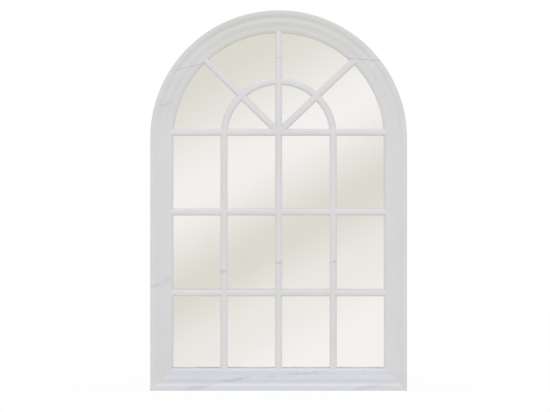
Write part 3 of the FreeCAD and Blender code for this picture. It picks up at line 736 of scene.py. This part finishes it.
class DressMirror(Operator):
    """Silver the mirror sheet"""
    bl_idname = "window_mirror.dress_mirror"
    bl_label = "Mirror sheet"

    def execute(self, context):
        dress(("mirror_glass",), mirror_material(settings_of(context).mirror))
        return {"FINISHED"}


class DressBoard(Operator):
    """Give the backing board its pressed fibres"""
    bl_idname = "window_mirror.dress_board"
    bl_label = "Backing board"

    def execute(self, context):
        dress(("backing_board",), board_material(settings_of(context).back))
        return {"FINISHED"}


class DressHangers(Operator):
    """Plate the hanger straps and their rings with zinc"""
    bl_idname = "window_mirror.dress_hangers"
    bl_label = "Hangers"

    def execute(self, context):
        zinc = settings_of(context).back.zinc
        dress(STRAP_NODES, metal_material("zinc_strap", zinc, *STRAP_FINISH))
        dress(RING_NODES, metal_material("zinc_ring", zinc, *RING_FINISH))
        return {"FINISHED"}


class MakeScrews(Operator):
    """Make the board screws and the hanger screws with their cross recesses"""
    bl_idname = "window_mirror.make_screws"
    bl_label = "Screws"

    def execute(self, context):
        settings = settings_of(context)
        zinc = metal_material("zinc_screw", settings.back.zinc, *SCREW_FINISH)
        recess = settings.screws
        shared = {"Recess Span": recess.recess_span, "Recess Width": recess.recess_width,
                  "Recess Depth": recess.recess_depth, "Sides": recess.sides, "Seed": recess.seed}
        board = {**shared, "Head Height": recess.board_head, "Shank Radius": recess.board_shank}
        screw_set("board_screw_set", "board_screws", board, True, zinc)
        hanger = {**shared, "Head Height": recess.hanger_head, "Shank Radius": recess.hanger_shank}
        screw_set("hanger_screw_set", "hanger_screws", hanger, False, zinc)
        return {"FINISHED"}


class DressBumpers(Operator):
    """Give the wall bumpers their matt rubber"""
    bl_idname = "window_mirror.dress_bumpers"
    bl_label = "Wall bumpers"

    def execute(self, context):
        rubber = settings_of(context).back.rubber
        dress(("wall_bumpers",), moulded_material("bumper_rubber", rubber, *RUBBER_FINISH))
        return {"FINISHED"}


class DressFixings(Operator):
    """Give the hidden dowels, pins and plugs their finishes"""
    bl_idname = "window_mirror.dress_fixings"
    bl_label = "Dowels, pins and plugs"

    def execute(self, context):
        back = settings_of(context).back
        dress(ROD_NODES, metal_material("drawn_steel", back.steel, *ROD_FINISH))
        dress(PLUG_NODES, moulded_material("plug_nylon", back.nylon, *NYLON_FINISH))
        return {"FINISHED"}


def floor_material(settings):
    """A pale floor that keeps the shadow, turns white to the eye further out and lights the object."""
    material, tree, shader = new_material("studio_floor")
    tree.nodes.remove(shader)
    paths = add(tree, "ShaderNodeLightPath").outputs
    flat = object_coordinates(tree)
    patches = span(tree, noise(tree, flat, FLOOR_PATCH, detail=3.0), *FLOOR_BAND)
    paint = blend_colour(tree, patches, rgba(settings.floor), rgba(settings.floor, FLOOR_TONE))
    matt = add(tree, "ShaderNodeBsdfDiffuse", {"Color": paint}).outputs[0]
    white = add(tree, "ShaderNodeEmission", {"Color": WHITE}).outputs[0]
    away = add(tree, "ShaderNodeVectorMath", {0: flat}, operation="LENGTH").outputs["Value"]
    fading = span(tree, away, *FLOOR_FADE)
    seen = add(tree, "ShaderNodeMixShader", {0: fading, 1: matt, 2: white}).outputs[0]
    glow = add(tree, "ShaderNodeEmission", {"Color": rgba(settings.floor_glow)}).outputs[0]
    by_eye = add(tree, "ShaderNodeMixShader", {0: paths["Is Camera Ray"], 1: matt, 2: seen}).outputs[0]
    surface = add(tree, "ShaderNodeMixShader", {0: paths["Is Diffuse Ray"], 1: by_eye, 2: glow}).outputs[0]
    output = next(node for node in tree.nodes if node.type == "OUTPUT_MATERIAL")
    tree.links.new(surface, output.inputs["Surface"])
    return material


def studio_world(settings):
    """White to the eye, a soft cream room to the mirror and to gloss, and an even fill light."""
    world = bpy.data.worlds.new("studio")
    world.use_nodes = True
    tree = world.node_tree
    tree.nodes.clear()
    paths = add(tree, "ShaderNodeLightPath").outputs
    direction = add(tree, "ShaderNodeTexCoord").outputs["Generated"]
    slant = add(tree, "ShaderNodeVectorMath", {0: direction, 1: ROOM_SLANT},
                operation="DOT_PRODUCT").outputs["Value"]
    first, last = ROOM_TONES[0][0], ROOM_TONES[-1][0]
    reach = last - first
    along = maths(tree, "PINGPONG", maths(tree, "SUBTRACT", slant, first), reach)
    ramp = add(tree, "ShaderNodeValToRGB", {0: maths(tree, "DIVIDE", along, reach)})
    ramp.color_ramp.interpolation = "EASE"
    elements = ramp.color_ramp.elements
    while len(elements) < len(ROOM_TONES):
        elements.new(1.0)
    for element, (place, light) in zip(elements, ROOM_TONES):
        element.position = (place - first) / reach
        element.color = (light, light, light, 1.0)
    tone = blend_colour(tree, ramp.outputs[0], rgba(settings.room_dark), rgba(settings.room_light))
    room = add(tree, "ShaderNodeBackground", {"Color": tone, "Strength": 1.0}).outputs[0]
    white = add(tree, "ShaderNodeBackground", {"Color": WHITE, "Strength": 1.0}).outputs[0]
    height = add(tree, "ShaderNodeSeparateXYZ", {0: direction}).outputs["Z"]
    around = blend_colour(tree, span(tree, height, *FILL_BAND), rgba(settings.fill_below),
                          rgba(settings.fill_above))
    fill = add(tree, "ShaderNodeBackground", {"Color": around, "Strength": 1.0}).outputs[0]
    shiny = maths(tree, "MAXIMUM", paths["Is Glossy Ray"], paths["Is Transmission Ray"])
    indirect = add(tree, "ShaderNodeMixShader", {0: shiny, 1: fill, 2: room}).outputs[0]
    seen = add(tree, "ShaderNodeMixShader", {0: paths["Is Camera Ray"], 1: indirect, 2: white}).outputs[0]
    add(tree, "ShaderNodeOutputWorld", {"Surface": seen})
    return world


class BuildStage(Operator):
    """Lay the floor, hang the light, set the world and point the camera"""
    bl_idname = "window_mirror.build_stage"
    bl_label = "Stage"

    def execute(self, context):
        settings = settings_of(context).stage
        scene = context.scene
        scene.world = studio_world(settings)
        scene.view_settings.view_transform = "Standard"

        disc = bmesh.new()
        bmesh.ops.create_circle(disc, cap_ends=True, segments=FLOOR_SIDES,
                                radius=settings.floor_radius)
        mesh = bpy.data.meshes.new("floor")
        disc.to_mesh(mesh)
        disc.free()
        mesh.materials.append(floor_material(settings))
        floor = bpy.data.objects.new("floor", mesh)
        floor.location.z = BOTTOM
        floor.visible_glossy = False
        scene.collection.objects.link(floor)

        middle = (CAD_LOW + CAD_HIGH) / 2
        lamp = bpy.data.lights.new("key", "AREA")
        lamp.shape = "RECTANGLE"
        lamp.size = settings.key_width
        lamp.size_y = settings.key_depth
        lamp.energy = settings.key_power
        lamp.color = settings.key
        key = bpy.data.objects.new("key", lamp)
        key.location = middle + Vector((0.0, -settings.key_forward, settings.key_above))
        key.rotation_euler = (middle - key.location).to_track_quat("-Z", "Y").to_euler()
        scene.collection.objects.link(key)

        lens = bpy.data.cameras.new("camera")
        lens.type = "PERSP"
        lens.sensor_fit = "HORIZONTAL"
        lens.lens = lens.sensor_width * settings.distance / settings.view_width
        camera = bpy.data.objects.new("camera", lens)
        camera.location = (settings.view_x, CAD_LOW.y - settings.distance, BOTTOM + settings.view_height)
        camera.rotation_euler = (math.pi / 2, 0.0, 0.0)
        scene.collection.objects.link(camera)
        scene.camera = camera
        return {"FINISHED"}


class WindowMirrorPanel(Panel):
    """Lists the pieces and the settings of the window mirror"""
    bl_idname = "VIEW3D_PT_window_mirror"
    bl_label = "Window Mirror"
    bl_space_type = "VIEW_3D"
    bl_region_type = "UI"
    bl_category = "Window Mirror"

    def draw(self, context):
        settings = settings_of(context)
        for operator in OPERATORS:
            self.layout.operator(operator.bl_idname)
        for name in ("marble", "mirror", "back", "screws", "stage"):
            box = self.layout.box()
            box.label(text=name.capitalize())
            group = getattr(settings, name)
            for key in group.__annotations__:
                box.prop(group, key)


OPERATORS = (DressMarble, DressJoints, DressMirror, DressBoard, DressHangers, MakeScrews, DressBumpers,
             DressFixings, BuildStage)
CLASSES = (MarbleSettings, MirrorSettings, BackSettings, ScrewSettings, StageSettings, WindowMirrorSettings,
           *OPERATORS, WindowMirrorPanel)


def register():
    for each in CLASSES:
        bpy.utils.register_class(each)
    bpy.types.Scene.window_mirror = PointerProperty(type=WindowMirrorSettings)


def unregister():
    del bpy.types.Scene.window_mirror
    for each in reversed(CLASSES):
        bpy.utils.unregister_class(each)


def main():
    register()
    bpy.ops.window_mirror.dress_marble()
    bpy.ops.window_mirror.dress_joints()
    bpy.ops.window_mirror.dress_mirror()
    bpy.ops.window_mirror.dress_board()
    bpy.ops.window_mirror.dress_hangers()
    bpy.ops.window_mirror.make_screws()
    bpy.ops.window_mirror.dress_bumpers()
    bpy.ops.window_mirror.dress_fixings()
    bpy.ops.window_mirror.build_stage()


if __name__ == "__main__":
    main()
